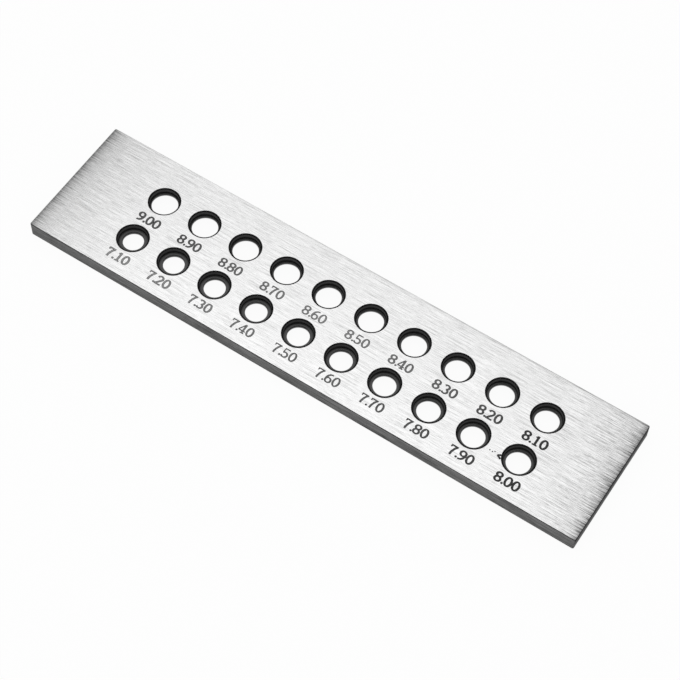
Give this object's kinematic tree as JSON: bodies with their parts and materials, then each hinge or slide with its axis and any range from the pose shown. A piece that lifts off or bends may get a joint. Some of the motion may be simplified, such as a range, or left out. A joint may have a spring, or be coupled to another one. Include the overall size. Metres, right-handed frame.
{
  "type": "wire draw plate",
  "caption": "Flat steel draw plate with two rows of stepped seats holding round carbide dies of rising bore, for pulling wire down to size.",
  "frame": {"origin": "middle of the plate's footprint, on the back face that the plate lies on", "axes": "+X along the plate towards its right end as the marks are read, +Y to the far long edge, +Z out of the marked face"},
  "size_m": [0.21, 0.048, 0.006],
  "materials": {
    "steel": "bright steel, brushed along its length on the faces and ground duller on the edges",
    "carbide": "dark sintered carbide, satin on the faces and polished in the bearing and the cones"
  },
  "bodies": {
    "root": {"plate": "steel", "die_01": "carbide", "die_02": "carbide", "die_03": "carbide", "die_04": "carbide", "die_05": "carbide", "die_06": "carbide", "die_07": "carbide", "die_08": "carbide", "die_09": "carbide", "die_10": "carbide", "die_11": "carbide", "die_12": "carbide", "die_13": "carbide", "die_14": "carbide", "die_15": "carbide", "die_16": "carbide", "die_17": "carbide", "die_18": "carbide", "die_19": "carbide", "die_20": "carbide"}
  },
  "joints": []
}
